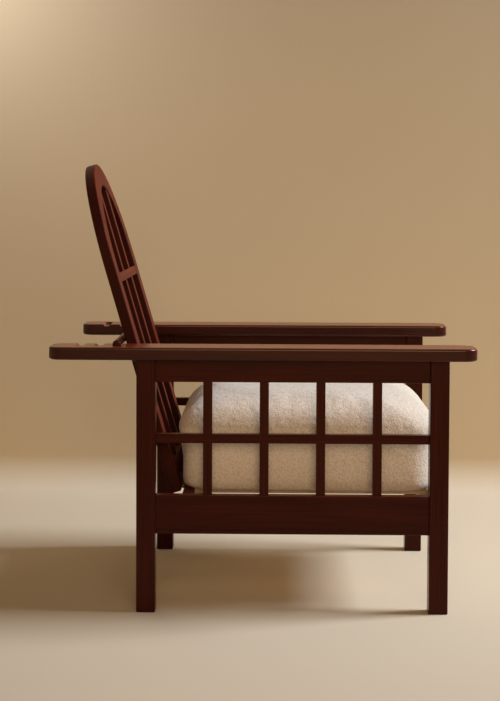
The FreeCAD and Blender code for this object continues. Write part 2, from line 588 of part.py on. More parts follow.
def back():
    """Everything that leans and turns on the hinge pins, by node name."""
    pieces = {}
    cross_front = -CROSS_RAIL_SETBACK
    bottom_front = -BOTTOM_RAIL_SETBACK
    cross = back_rail(CROSS_RAIL_BOTTOM, CROSS_RAIL_TOP, cross_front)
    bottom = back_rail(HINGE_FOOT_GAP, BOTTOM_RAIL_TOP, bottom_front)
    keys = hoop_keys()
    hoops = {}
    for name, side in SIDES.items():
        hoops[name] = hoop_quarter(side)
        for key in keys.values():
            hoops[name] = hoops[name].cut(key)

    for slat_name, y in zip(SIDES, BACK_SLAT_CENTRES):
        upper = back_slat_blank(y, CROSS_RAIL_TOP, SPRINGING + HOOP_RADIUS)
        upper = upper.common(hoop_cylinder_long(HOOP_INNER))
        upper_tenon = back_slat_tenon(y, CROSS_RAIL_TOP - STUB_TENON, SPRINGING + HOOP_RADIUS)
        upper_tenon = upper_tenon.common(hoop_cylinder_long(HOOP_INNER + STUB_TENON))
        lower = back_slat_blank(y, BOTTOM_RAIL_TOP, CROSS_RAIL_BOTTOM)
        lower_tenon = back_slat_tenon(y, BOTTOM_RAIL_TOP - STUB_TENON, CROSS_RAIL_BOTTOM + STUB_TENON)
        pieces[f"back_upper_slat_{slat_name}"] = upper.fuse(upper_tenon).removeSplitter()
        pieces[f"back_lower_slat_{slat_name}"] = lower.fuse(lower_tenon).removeSplitter()
        cross = cross.cut(upper_tenon).cut(lower_tenon)
        bottom = bottom.cut(lower_tenon)
        for name in hoops:
            hoops[name] = hoops[name].cut(upper_tenon)

    hinge_screws = []
    for name, side in SIDES.items():
        place = FreeCAD.Vector(0, side * HINGE_FROM_CENTRE, 0)
        leaf = hinge_leaf(back_leaf_plate(), moving=True)
        recess = back_leaf_plate()
        recess.translate(place)
        bottom = bottom.cut(recess)
        for y in hinge_screw_places():
            fixing = back_hinge_screw(y)
            leaf = leaf.cut(fixing)
            fixing.translate(place)
            bottom = bottom.cut(fixing)
            hinge_screws.append(fixing)
        leaf.translate(place)
        pieces[f"hinge_back_leaf_{name}"] = leaf

        stile = bar(-BACK_THICK, 0, side * HOOP_INNER, side * HOOP_RADIUS, HINGE_FOOT_GAP, SPRINGING,
                    AXIS_Z, BACK_EASE)
        stile = stile.cut(back_rail_tenons(CROSS_RAIL_BOTTOM, CROSS_RAIL_TOP, cross_front))
        stile = stile.cut(back_rail_tenons(HINGE_FOOT_GAP, BOTTOM_RAIL_TOP, bottom_front))
        pieces[f"back_stile_{name}"] = stile.cut(keys[f"springing_key_{name}"])
        pieces[f"back_hoop_{name}"] = hoops[name]

    pieces["back_cross_rail"] = cross
    pieces["back_bottom_rail"] = bottom
    pieces["hinge_back_screws"] = Part.makeCompound(hinge_screws)
    pieces.update(keys)
    return {name: placed_on_back(shape) for name, shape in pieces.items()}


def hoop_cylinder_long(radius):
    """The round space inside the hoop, carried straight down below the springing."""
    reach = 2 * BACK_THICK
    start = FreeCAD.Vector(-reach, 0, SPRINGING)
    below = box(-reach, reach, -radius, radius, HINGE_FOOT_GAP, SPRINGING)
    return Part.makeCylinder(radius, 2 * reach, start, AXIS_X).fuse(below).removeSplitter()


def support_bar():
    plain = Part.makeCylinder(BAR_RADIUS, 2 * BAR_HALF, FreeCAD.Vector(BAR_X, -BAR_HALF, BAR_Z), AXIS_Y)
    ends = [edge for edge in plain.Edges if isinstance(edge.Curve, Part.Circle)]
    return plain.makeFillet(BAR_END_EASE, ends)


def cushion_layer(height, inset):
    """A level outline of the cushion: a rectangle with round corners, narrower by the inset."""
    z = SEAT_TOP + CUSHION_REST_GAP + height
    rise = (height - CUSHION_TUCK_FOOT) / (CUSHION_TUCK_TOP - CUSHION_TUCK_FOOT)
    tuck = CUSHION_TUCK * (1 + math.cos(math.pi * min(max(rise, 0), 1))) / 2
    end_inset = tuck + inset * CUSHION_END_ROLL
    rear = REAR_RAIL_REAR - CUSHION_REAR_GAP + end_inset
    front = FRONT_POST_FRONT - CUSHION_FRONT_GAP - end_inset
    half = POST_INNER - CUSHION_SIDE_GAP - inset
    corner = min(CUSHION_CORNER + CUSHION_CORNER_GROWTH * inset, CUSHION_CORNER_LIMIT * half)
    bend = corner * (1 - math.sqrt(0.5))

    def at(x, y):
        return FreeCAD.Vector(x, y, z)

    def arc(a, b, c):
        return Part.Arc(a, b, c).toShape()

    return Part.Wire([
        Part.makeLine(at(rear + corner, -half), at(front - corner, -half)),
        arc(at(front - corner, -half), at(front - bend, -half + bend), at(front, -half + corner)),
        Part.makeLine(at(front, -half + corner), at(front, half - corner)),
        arc(at(front, half - corner), at(front - bend, half - bend), at(front - corner, half)),
        Part.makeLine(at(front - corner, half), at(rear + corner, half)),
        arc(at(rear + corner, half), at(rear + bend, half - bend), at(rear, half - corner)),
        Part.makeLine(at(rear, half - corner), at(rear, -half + corner)),
        arc(at(rear, -half + corner), at(rear + bend, -half + bend), at(rear + corner, -half)),
    ])


def seat_cushion():
    """Outlines joined upward: round lower edges, upright sides, tucked ends, a wide roll to the crown."""
    levels = []
    for degrees in range(0, 91, CUSHION_SOLE_STEP):
        turn = math.radians(degrees)
        levels.append((CUSHION_SOLE * (1 - math.cos(turn)), CUSHION_SOLE * (1 - math.sin(turn))))
    levels += [(CUSHION_TUCK_FOOT, 0), ((CUSHION_TUCK_FOOT + CUSHION_WALL) / 2, 0), (CUSHION_WALL, 0)]
    for degrees in range(CUSHION_ROLL_STEP, 90, CUSHION_ROLL_STEP):
        turn = math.radians(degrees)
        rise = (CUSHION_TOP - CUSHION_WALL) * math.sin(turn)
        levels.append((CUSHION_WALL + rise, CUSHION_ROLL * (1 - math.cos(turn))))
    levels.append((CUSHION_CROWN, CUSHION_CROWN_INSET))
    return Part.makeLoft([cushion_layer(*level) for level in levels], True, True)


def main():
    os.makedirs("parts", exist_ok=True)
    pieces = {}
    pieces.update(side_frames())
    pieces.update(seat())
    pieces.update(back())
    pieces["support_bar"] = support_bar()
    pieces["seat_cushion"] = seat_cushion()
    for name, shape in pieces.items():
        shape.exportStep(f"parts/{name}.step")
        made = f"solids {len(shape.Solids):2d} valid {shape.isValid()} volume {shape.Volume / 1000:9.1f} cm3"
        print(f"{name:26s} {made}")
    print(f"{len(pieces)} pieces")
    print(f"hinge pin x {HINGE_X:.3f} z {HINGE_Z:.3f}, bar x {BAR_X:.3f} z {BAR_Z:.3f}")
    arc_radius = (NOTCHES - 1) * NOTCH_PITCH / 2 / math.sin(math.radians(BAR_ARC))
    arc_x = BAR_X - (NOTCHES - 1) * NOTCH_PITCH / 2
    arc_z = BAR_Z - arc_radius * math.cos(math.radians(BAR_ARC))
    print(f"bar's arc centre x {arc_x:.3f} z {arc_z:.3f} radius {arc_radius:.3f}")


main()
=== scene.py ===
# %% [markdown]
# Reclining armchair
#
# This lesson dresses a finished chair frame: dark stained wood, two small brass hinges and one thick
# loose cushion. The solids already have their true shapes and places, so the work here is finishes,
# the soft cushion, the light and the camera. Everything is in metres; +X is the chair's front.

# %% Load the frame
import bpy
import json
import math
from mathutils import Matrix, Vector


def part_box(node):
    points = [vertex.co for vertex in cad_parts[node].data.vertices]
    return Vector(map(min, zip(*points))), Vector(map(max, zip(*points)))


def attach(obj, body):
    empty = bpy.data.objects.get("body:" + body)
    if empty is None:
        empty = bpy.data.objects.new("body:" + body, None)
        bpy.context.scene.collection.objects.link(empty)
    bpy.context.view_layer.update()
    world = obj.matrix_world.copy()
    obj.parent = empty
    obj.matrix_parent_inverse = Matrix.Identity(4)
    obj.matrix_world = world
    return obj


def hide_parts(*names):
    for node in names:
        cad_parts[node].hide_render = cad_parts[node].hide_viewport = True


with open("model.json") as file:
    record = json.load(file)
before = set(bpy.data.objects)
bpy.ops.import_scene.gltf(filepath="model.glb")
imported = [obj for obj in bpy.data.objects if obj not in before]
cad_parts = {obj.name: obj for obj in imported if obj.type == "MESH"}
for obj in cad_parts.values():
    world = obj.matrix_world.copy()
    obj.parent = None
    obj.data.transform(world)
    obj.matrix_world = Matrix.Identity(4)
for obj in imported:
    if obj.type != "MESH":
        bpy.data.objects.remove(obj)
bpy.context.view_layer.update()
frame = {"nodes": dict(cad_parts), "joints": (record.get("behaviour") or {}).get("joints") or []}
nodes = frame["nodes"]
scene = bpy.context.scene
scene.view_settings.view_transform = "Standard"
MM = 0.001

# %% [markdown]
# Small helpers
#
# Colours are easiest to read as the hex values that a picture editor shows. Those are sRGB, and the
# shader wants linear light, so one function converts them. Another adds a shader node and wires it, so
# that a finish further down reads as a list of what goes into what.

# %% Colour and node helpers
def linear(hex_colour):
    """A hex colour such as 5c2413 as linear red, green, blue and alpha."""
    channels = [int(hex_colour[i:i + 2], 16) / 255 for i in (0, 2, 4)]
    return [c / 12.92 if c <= 0.04045 else ((c + 0.055) / 1.055) ** 2.4 for c in channels] + [1.0]


def add_node(tree, kind, inputs=None, **settings):
    """Adds one node, sets its options, and fills or links its inputs."""
    made = tree.nodes.new(kind)
    for name, value in settings.items():
        setattr(made, name, value)
    for socket, value in (inputs or {}).items():
        if isinstance(value, bpy.types.NodeSocket):
            tree.links.new(value, made.inputs[socket])
        else:
            made.inputs[socket].default_value = value
    return made


def new_material(name):
    """An empty node material and its output node."""
    material = bpy.data.materials.new(name)
    material.use_nodes = True
    material.node_tree.nodes.clear()
    return material, add_node(material.node_tree, "ShaderNodeOutputMaterial")


def colour_steps(ramp, steps):
    """Puts (position, hex colour) steps on a colour ramp."""
    stops = ramp.color_ramp.elements
    while len(stops) < len(steps):
        stops.new(0.5)
    for stop, (position, hex_colour) in zip(stops, steps):
        stop.position = position
        stop.color = linear(hex_colour)


print("white is", linear("ffffff"))

# %% [markdown]
# Grain
#
# Wood grows in long fibres, so every mark in it is many times longer than it is wide. An image of a board
# could be laid on each piece, but it would have to be unwrapped and would end at every edge. Noise in the
# object's own space, stretched along the grain, runs through the piece as real grain does, and its length
# and width can be written down in millimetres. One function makes such patterns for both woods.

# %% Grain patterns
BACK_LEAN = math.radians(16.4)         # how far the back leans at rest
GRAIN_TURNS = {                        # the turns that bring each piece's grain onto X
    "long": (0.0, 0.0, 0.0),
    "arm": (0.0, 0.0, 0.0),
    "across": (0.0, 0.0, -math.pi / 2),
    "bar": (0.0, 0.0, -math.pi / 2),
    "upright": (0.0, math.pi / 2, 0.0),
    "leaning": (0.0, math.pi / 2 + BACK_LEAN, 0.0),
}


def grain_patterns(tree, grain_turn, sizes, noise):
    """One stretched noise for each (length along the grain, width across it)."""
    place = add_node(tree, "ShaderNodeTexCoord")
    turned = add_node(tree, "ShaderNodeMapping", {
        "Vector": place.outputs["Object"],
        "Rotation": grain_turn,
    })
    patterns = []
    for length, width in sizes:
        stretched = add_node(tree, "ShaderNodeMapping", {
            "Vector": turned.outputs["Vector"],
            "Scale": (1 / length, 1 / width, 1 / width),
        })
        pattern = add_node(tree, "ShaderNodeTexNoise", {
            "Vector": stretched.outputs["Vector"],
            "Scale": 1.0,
            **noise,
        })
        patterns.append(pattern.outputs["Fac"])
    return patterns


print("grain runs:", ", ".join(GRAIN_TURNS))

# %% [markdown]
# Stained mahogany under satin lacquer
#
# The frame is mahogany, planed, stained a deep red-brown and sprayed with a satin lacquer. The eye sees
# broad bands of lighter and darker wood, fine dark pores drawn out along the grain, and a thin film that
# catches the light on every rounded edge. Faces that look up and to the front are painted a lighter,
# redder brown, which is painted light for the key lamp that shines on them from above and the front. A
# second material on those faces would end in a hard line at their edges, so one material blends the two
# tones by the way the surface looks.

# %% Mahogany: sizes and colours
GRAIN_BAND = (620 * MM, 24 * MM)       # length along the grain and width across it
GRAIN_FIBRE = (150 * MM, 3.2 * MM)
GRAIN_PORE = (22 * MM, 1.1 * MM)       # real pores, about 0.2 mm wide, would be too fine to show
MAHOGANY_NOISE = {"Detail": 3.0, "Roughness": 0.55, "Distortion": 0.25}
FIBRE_SHARE = 0.45                     # how much of the figure is fibres, the rest being bands
MAHOGANY_STEPS = [(0.30, "230805"), (0.52, "340e08"), (0.76, "46150b")]
# painted light: lighter, redder tones for the faces that the key lamp lights
PAINTED_LIGHT_STEPS = [(0.30, "5a1d0f"), (0.52, "7a2c17"), (0.76, "973f27")]
PAINTED_LIGHT_DIRECTION = (0.6, 0.0, 0.8)       # painted light: the key lamp shines from above and from the front
PAINTED_LIGHT_START = 0.5                       # how squarely a face must look that way before painted light makes it lighter
PAINTED_LIGHT_FULL = 0.85
PORE_START = 0.60                      # noise above this begins to open a pore
PORE_FULL = 0.74
PORE_COLOUR = "1a0704"
PORE_SHARE = 0.55                      # how dark an open pore gets under the stain
PORE_DEPTH = 0.12 * MM
PORE_RELIEF = 0.35                     # the lacquer fills most of a pore
FIBRE_RANGE = (0.3, 0.7)               # most of the noise lies between these
LACQUER_IOR = 1.5
LACQUER_SPECULAR = 0.17                # rubbed down to satin, it shines less than a fresh film
FILM_TINT = "ffccb8"                   # the stain shows through the film
FILM = {                               # smoothest and roughest film, its gloss coat, and how strongly painted light lightens faces turned to the key lamp
    "long": (0.26, 0.36, 0.04, 0.9),
    "arm": (0.26, 0.34, 0.40, 1.0),
    "across": (0.45, 0.55, 0.0, 0.6),
    "bar": (0.26, 0.36, 0.04, 0.0),
    "upright": (0.26, 0.36, 0.04, 0.9),
    "leaning": (0.54, 0.64, 0.0, 0.55),
}
print("mahogany pores are drawn", round(GRAIN_PORE[1] / MM, 1), "mm wide")


# %% Mahogany: stain and painted light
def stain_with_painted_light(tree, figure, painted_light_share):
    """The stain's colour over the wood's figure, with painted light: a lighter, redder tone on faces
    turned to the key lamp.
    """
    stain = add_node(tree, "ShaderNodeValToRGB", {"Fac": figure})
    colour_steps(stain, MAHOGANY_STEPS)
    # painted light: this lighter tone is mixed in where a face turns towards the key lamp
    painted_light = add_node(tree, "ShaderNodeValToRGB", {"Fac": figure})
    colour_steps(painted_light, PAINTED_LIGHT_STEPS)
    facing = add_node(tree, "ShaderNodeNewGeometry")
    facing_key_lamp = add_node(tree, "ShaderNodeVectorMath", {
        0: facing.outputs["Normal"],
        1: PAINTED_LIGHT_DIRECTION,
    }, operation="DOT_PRODUCT")
    painted_light_mask = add_node(tree, "ShaderNodeMapRange", {
        "Value": facing_key_lamp.outputs["Value"],
        "From Min": PAINTED_LIGHT_START,
        "From Max": PAINTED_LIGHT_FULL,
        "To Max": painted_light_share,
    })
    stain_and_painted_light = add_node(tree, "ShaderNodeMix", {
        "Factor": painted_light_mask.outputs["Result"],
        "A": stain.outputs["Color"],
        "B": painted_light.outputs["Color"],
    }, data_type="RGBA")
    return stain_and_painted_light.outputs["Result"]


print("stain:", len(MAHOGANY_STEPS), "tones, faded:", len(PAINTED_LIGHT_STEPS))


# %% Mahogany: the whole finish
def stained_mahogany(name, grain_turn, smooth, rough, coat, painted_light_share):
    """Lacquered mahogany; grain_turn brings the grain onto X, the rest set the film and the painted light
    on faces turned to the key lamp.
    """
    material, output = new_material(name)
    tree = material.node_tree
    sizes = (GRAIN_BAND, GRAIN_FIBRE, GRAIN_PORE)
    band, fibre, pore = grain_patterns(tree, grain_turn, sizes, MAHOGANY_NOISE)
    figure = add_node(tree, "ShaderNodeMix", {
        "Factor": FIBRE_SHARE,
        "A": band,
        "B": fibre,
    }, data_type="FLOAT")
    pore_mask = add_node(tree, "ShaderNodeMapRange", {
        "Value": pore,
        "From Min": PORE_START,
        "From Max": PORE_FULL,
    })
    pore_share = add_node(tree, "ShaderNodeMath", {
        0: pore_mask.outputs["Result"],
        1: PORE_SHARE,
    }, operation="MULTIPLY")
    wood_colour = add_node(tree, "ShaderNodeMix", {
        "Factor": pore_share.outputs[0],
        "A": stain_with_painted_light(tree, figure.outputs[0], painted_light_share),
        "B": linear(PORE_COLOUR),
    }, data_type="RGBA")
    film = add_node(tree, "ShaderNodeMapRange", {
        "Value": fibre,
        "From Min": FIBRE_RANGE[0],
        "From Max": FIBRE_RANGE[1],
        "To Min": smooth,
        "To Max": rough,
    })
    relief = add_node(tree, "ShaderNodeBump", {
        "Height": pore_mask.outputs["Result"],
        "Strength": PORE_RELIEF,
        "Distance": PORE_DEPTH,
    }, invert=True)
    surface = add_node(tree, "ShaderNodeBsdfPrincipled", {
        "Base Color": wood_colour.outputs["Result"],
        "Roughness": film.outputs["Result"],
        "Normal": relief.outputs["Normal"],
        "IOR": LACQUER_IOR,
        "Specular IOR Level": LACQUER_SPECULAR,
        "Specular Tint": linear(FILM_TINT),
        "Coat Weight": coat,
        "Coat Roughness": smooth / 2,
    })
    tree.links.new(surface.outputs["BSDF"], output.inputs["Surface"])
    return material


mahogany = {}
for way, grain_turn in GRAIN_TURNS.items():
    mahogany[way] = stained_mahogany(f"stained_mahogany_{way}", grain_turn, *FILM[way])
print("mahogany:", sorted(mahogany))

# %% [markdown]
# Plain beech below the cushion
#
# The slats and cleats that carry the cushion are never seen in use, so makers leave them as sanded,
# unlacquered beech: pale, dry and matt, with short brown flecks along the grain. One flat colour would
# pass in the narrow gaps below the cushion, but the slats are laid bare when it slides out. So the
# same stretched noise is used again, once for slow bands of tone and once for the flecks.

# %% Beech
BEECH_FLECK = (9 * MM, 1.4 * MM)
BEECH_BAND = (400 * MM, 18 * MM)
BEECH_NOISE = {"Detail": 2.0}
FLECK_SHARE = 0.4                      # how much of the figure is flecks, the rest being bands
BEECH_STEPS = [(0.30, "c59f74"), (0.55, "d7b78e"), (0.80, "e4cba6")]
BEECH_ROUGHNESS = (0.55, 0.75)
BEECH_IOR = 1.5


def sanded_beech(name, grain_turn):
    """Matt beech with short flecks; grain_turn brings the grain onto X."""
    material, output = new_material(name)
    tree = material.node_tree
    band, fleck = grain_patterns(tree, grain_turn, (BEECH_BAND, BEECH_FLECK), BEECH_NOISE)
    board = add_node(tree, "ShaderNodeMix", {
        "Factor": FLECK_SHARE,
        "A": band,
        "B": fleck,
    }, data_type="FLOAT")
    tone = add_node(tree, "ShaderNodeValToRGB", {"Fac": board.outputs[0]})
    colour_steps(tone, BEECH_STEPS)
    dry = add_node(tree, "ShaderNodeMapRange", {
        "Value": fleck,
        "To Min": BEECH_ROUGHNESS[0],
        "To Max": BEECH_ROUGHNESS[1],
    })
    surface = add_node(tree, "ShaderNodeBsdfPrincipled", {
        "Base Color": tone.outputs["Color"],
        "Roughness": dry.outputs["Result"],
        "IOR": BEECH_IOR,
    })
    tree.links.new(surface.outputs["BSDF"], output.inputs["Surface"])
    return material


beech_long = sanded_beech("sanded_beech_long", GRAIN_TURNS["long"])
beech_across = sanded_beech("sanded_beech_across", GRAIN_TURNS["across"])
print("beech:", beech_long.name, beech_across.name)

# %% [markdown]
# Hinge brass and screw steel
#
# The two butt hinges are rolled brass gone dull, and the screws are plain steel. Both are metals, so
# their colour is the colour of their reflections. A single value for colour and roughness would look new
# and plated; soft blotches that change both together look handled, and one function serves both metals.

# %% Metals
TARNISH_PATCH = 14 * MM
TARNISH_DETAIL = 4.0
TARNISH_DULL = 0.35                    # noise up to this is fully dull
TARNISH_BRIGHT = 0.65
WEAR_RANGE = (0.3, 0.7)                # noise from dull to bright, for the roughness


def worn_metal(name, bright, dull, smooth, rough):
    """A metal whose colour and roughness drift between two values in soft patches."""
    material, output = new_material(name)
    tree = material.node_tree
    place = add_node(tree, "ShaderNodeTexCoord")
    patch = add_node(tree, "ShaderNodeTexNoise", {
        "Vector": place.outputs["Object"],
        "Scale": 1 / TARNISH_PATCH,
        "Detail": TARNISH_DETAIL,
    })
    tone = add_node(tree, "ShaderNodeValToRGB", {"Fac": patch.outputs["Fac"]})
    colour_steps(tone, [(TARNISH_DULL, dull), (TARNISH_BRIGHT, bright)])
    wear = add_node(tree, "ShaderNodeMapRange", {
        "Value": patch.outputs["Fac"],
        "From Min": WEAR_RANGE[0],
        "From Max": WEAR_RANGE[1],
        "To Min": rough,
        "To Max": smooth,
    })
    surface = add_node(tree, "ShaderNodeBsdfPrincipled", {
        "Base Color": tone.outputs["Color"],
        "Metallic": 1.0,
        "Roughness": wear.outputs["Result"],
    })
    tree.links.new(surface.outputs["BSDF"], output.inputs["Surface"])
    return material


hinge_brass = worn_metal("aged_brass", bright="b8924e", dull="7d5e2c", smooth=0.26, rough=0.46)
screw_steel = worn_metal("screw_steel", bright="a9a49c", dull="7b766e", smooth=0.28, rough=0.45)
print("metals:", hinge_brass.name, screw_steel.name)

# %% [markdown]
# Giving each solid its finish
#
# Grain follows the way a piece was sawn: along the arms and side rails, across the chair in the cross
# rails and the bar, upright in posts and lattice bars, and along the lean in the back's own pieces. A
# list of name beginnings says which finish goes where, which is shorter than 54 single lines.

# %% Finishes on the solids
FINISH_BY_NAME = [
    (("arm_",), mahogany["arm"]),
    (("upper_side_rail", "lower_side_rail", "lattice_rail"), mahogany["long"]),
    (("front_post", "rear_post", "lattice_upright"), mahogany["upright"]),
    (("front_seat_rail", "rear_seat_rail", "back_cross_rail", "back_bottom_rail", "crown_key"),
     mahogany["across"]),
    (("support_bar",), mahogany["bar"]),
    (("back_stile", "back_hoop", "back_upper_slat", "back_lower_slat", "springing_key"),
     mahogany["leaning"]),
    (("seat_slat",), beech_long),
    (("front_cleat", "rear_cleat"), beech_across),
    (("slat_screws", "cleat_screws", "hinge_rail_screws", "hinge_back_screws"), screw_steel),
    (("hinge_rail_leaf", "hinge_back_leaf", "hinge_pin"), hinge_brass),
]


def dress(name, finish):
    """Gives one solid a single finish."""
    slots = nodes[name].data.materials
    slots.clear()
    slots.append(finish)


for starts, finish in FINISH_BY_NAME:
    dressed = [name for name in nodes if name.startswith(starts)]
    for name in dressed:
        dress(name, finish)
    print(finish.name, "on", len(dressed), "solids")

# %% [markdown]
# Ivory looped wool
#
# The cushion's cover is a thick looped wool cloth: small round curls packed close together, soft and
# quite matt, with a faint halo where the fibres catch the light. Real loops could be grown as hair, but
# tens of thousands of them would be slow and heavy. Here each curl is a cell of a Voronoi pattern about
# 4 mm across, bent by a little noise so that no row shows. Curls stand up as relief, the hollows between
# them are painted darker as painted shade, and slow patches change the tone over a hand's width.

# %% Looped wool: sizes and colours
CURL_SIZE = 3.8 * MM                   # a little coarser than life, so that the curls show
CURL_BEND = 4 * MM                     # how far a curl is pushed out of its row
CURL_SMOOTHNESS = 0.6
CURL_TOP = 0.05                        # distance from a curl's middle, in curls, where it is highest
CURL_FOOT = 0.75
CURL_HEIGHT = 1.3 * MM
CURL_RELIEF = 0.55
SWAY_SIZE = 3 * CURL_SIZE
FUZZ_SIZE = CURL_SIZE / 2.5            # loose fibres on the curls
FUZZ_SHARE = 0.30
FUZZ_NOISE = {"Detail": 3.0, "Roughness": 0.7}
SOFT_NOISE = {"Detail": 2.0}
NOISE_MIDDLE = (0.5, 0.5, 0.5)         # noise lies around this, so taking it off bends both ways
# the cloth's ivory on the curls, with painted shade in the hollows between them
WOOL_STEPS_WITH_HOLLOW_SHADE = [(0.10, "d6c7b2"), (0.45, "e8dccd"), (0.85, "f1e9de")]
TONE_PATCH = 70 * MM
PATCH_COLOUR = "c9b797"
PATCH_START = 0.35
PATCH_FULL = 0.70
PATCH_SHARE = 0.12                     # the patches are faint
WOOL_IOR = 1.45
WOOL_ROUGHNESS = 0.95
WOOL_SPECULAR = 0.2
WOOL_SHEEN = 0.25                      # the halo of fine fibres
WOOL_SHEEN_ROUGHNESS = 0.6
print("curls", round(CURL_SIZE / MM, 1), "mm across")


# %% Looped wool: the curls
def wool_loops(tree, place):
    """The height of the looped cloth, 1 on top of a curl and 0 in the hollows."""
    sway = add_node(tree, "ShaderNodeTexNoise", {"Vector": place, "Scale": 1 / SWAY_SIZE, **SOFT_NOISE})
    centred = add_node(tree, "ShaderNodeVectorMath", {
        0: sway.outputs["Color"],
        1: NOISE_MIDDLE,
    }, operation="SUBTRACT")
    bend = add_node(tree, "ShaderNodeVectorMath", {
        0: centred.outputs["Vector"],
        "Scale": 2 * CURL_BEND,
    }, operation="SCALE")
    bent = add_node(tree, "ShaderNodeVectorMath", {
        0: place,
        1: bend.outputs["Vector"],
    }, operation="ADD")
    curls = add_node(tree, "ShaderNodeTexVoronoi", {
        "Vector": bent.outputs["Vector"],
        "Scale": 1 / CURL_SIZE,
        "Smoothness": CURL_SMOOTHNESS,
        "Randomness": 1.0,
    }, feature="SMOOTH_F1")
    raised = add_node(tree, "ShaderNodeMapRange", {
        "Value": curls.outputs["Distance"],
        "From Min": CURL_TOP,
        "From Max": CURL_FOOT,
        "To Min": 1.0,
        "To Max": 0.0,
    })
    fuzz = add_node(tree, "ShaderNodeTexNoise", {"Vector": place, "Scale": 1 / FUZZ_SIZE, **FUZZ_NOISE})
    loops = add_node(tree, "ShaderNodeMix", {
        "Factor": FUZZ_SHARE,
        "A": raised.outputs["Result"],
        "B": fuzz.outputs["Fac"],
    }, data_type="FLOAT")
    return loops.outputs[0]


print("curls are bent over", round(SWAY_SIZE / MM, 1), "mm")


# %% Looped wool: the whole finish
def looped_wool(name):
    """Matt looped cloth with raised curls, painted shade in the hollows and faint patches of tone."""
    material, output = new_material(name)
    tree = material.node_tree
    place = add_node(tree, "ShaderNodeTexCoord").outputs["Object"]
    loops = wool_loops(tree, place)
    # painted shade: the lower steps darken the hollows between curls
    tone = add_node(tree, "ShaderNodeValToRGB", {"Fac": loops})
    colour_steps(tone, WOOL_STEPS_WITH_HOLLOW_SHADE)
    patch = add_node(tree, "ShaderNodeTexNoise", {"Vector": place, "Scale": 1 / TONE_PATCH, **SOFT_NOISE})
    patch_share = add_node(tree, "ShaderNodeMapRange", {
        "Value": patch.outputs["Fac"],
        "From Min": PATCH_START,
        "From Max": PATCH_FULL,
        "To Min": 0.0,
        "To Max": PATCH_SHARE,
    })
    cloth_colour_and_hollow_shade = add_node(tree, "ShaderNodeMix", {
        "Factor": patch_share.outputs["Result"],
        "A": tone.outputs["Color"],
        "B": linear(PATCH_COLOUR),
    }, data_type="RGBA")
    relief = add_node(tree, "ShaderNodeBump", {
        "Height": loops,
        "Strength": CURL_RELIEF,
        "Distance": CURL_HEIGHT,
    })
    surface = add_node(tree, "ShaderNodeBsdfPrincipled", {
        "Base Color": cloth_colour_and_hollow_shade.outputs["Result"],
        "Roughness": WOOL_ROUGHNESS,
        "IOR": WOOL_IOR,
        "Specular IOR Level": WOOL_SPECULAR,
        "Sheen Weight": WOOL_SHEEN,
        "Sheen Roughness": WOOL_SHEEN_ROUGHNESS,
        "Normal": relief.outputs["Normal"],
    })
    tree.links.new(surface.outputs["BSDF"], output.inputs["Surface"])
    return material


ivory_wool = looped_wool("ivory_looped_wool")
print("cloth:", ivory_wool.name)

# %% [markdown]
# The loose seat cushion: its blank
#
# A thick, firmly filled loose cushion: crowned on top, rolled over at its edges, and flat where it lies
# on the slats. A lofted solid already gives its size, but its faces are long and uneven, and cloth needs
# small even ones. So a copy of the solid is made a little smaller and remeshed into even quads. Modelling
# the cushion afresh from a box would also do, but it would drift away from the solid.

# %% Cushion blank
CUSHION_START = 3 * MM                 # how much smaller the cloth starts than the cushion's solid
CUSHION_VOXEL = 8 * MM
cushion_low, cushion_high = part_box("seat_cushion")
cushion_size = cushion_high - cushion_low
cushion_seat = (cushion_low + cushion_high) / 2
cushion_seat.z = cushion_low.z


def evaluated_mesh(piece):
    """A fresh mesh of a piece with its modifiers applied."""
    shown = piece.evaluated_get(bpy.context.evaluated_depsgraph_get())
    return bpy.data.meshes.new_from_object(shown)


def keep_modified(piece):
    """Makes the modifiers' result the piece's own mesh and removes them."""
    mesh = evaluated_mesh(piece)
    piece.modifiers.clear()
    piece.data = mesh


cushion = bpy.data.objects.new("loose_cushion", nodes["seat_cushion"].data.copy())
scene.collection.objects.link(cushion)
shrink = [(size - 2 * CUSHION_START) / size for size in cushion_size]
for vertex in cushion.data.vertices:
    offset = vertex.co - cushion_seat
    vertex.co = cushion_seat + Vector(part * share for part, share in zip(offset, shrink))
remesh = cushion.modifiers.new("even_quads", "REMESH")
remesh.mode = "VOXEL"
remesh.voxel_size = CUSHION_VOXEL
keep_modified(cushion)
print("cushion blank:", len(cushion.data.vertices), "points, size", [round(v, 3) for v in cushion_size])

# %% [markdown]
# The loose seat cushion: swelling
#
# Filling pushes a cover out from inside, which is what cloth with air pressure does. Left alone it would
# turn into a balloon, so a cap on how far a point may travel keeps the swelling gentle, the lower edge
# keeps its shape, and nothing passes the lattice, the leaning back or the slats. A few rounds of
# smoothing then take out sharp creases, because the filling is too firm for any.

# %% Cushion cloth
SWELL_FRAMES = 20
CUSHION_CLOTH = {
    "quality": 5,
    "mass": 0.3,
    "tension_stiffness": 3,
    "compression_stiffness": 3,
    "shear_stiffness": 2,
    "bending_stiffness": 2.0,
    "use_pressure": True,
    "uniform_pressure_force": 4.0,
}


def swell(piece, frames):
    """Runs the cloth with air pressure and returns where each point ends."""
    cloth = piece.modifiers.new("air", "CLOTH")
    for setting, value in CUSHION_CLOTH.items():
        setattr(cloth.settings, setting, value)
    cloth.settings.effector_weights.gravity = 0
    cloth.point_cache.frame_start = 1
    cloth.point_cache.frame_end = frames
    for number in range(1, frames + 1):
        scene.frame_set(number)
    swollen = evaluated_mesh(piece)
    ends = [vertex.co.copy() for vertex in swollen.vertices]
    piece.modifiers.clear()
    bpy.data.meshes.remove(swollen)
    scene.frame_set(1)
    return ends


swollen_places = swell(cushion, SWELL_FRAMES)
print("cushion cloth:", len(swollen_places), "points")

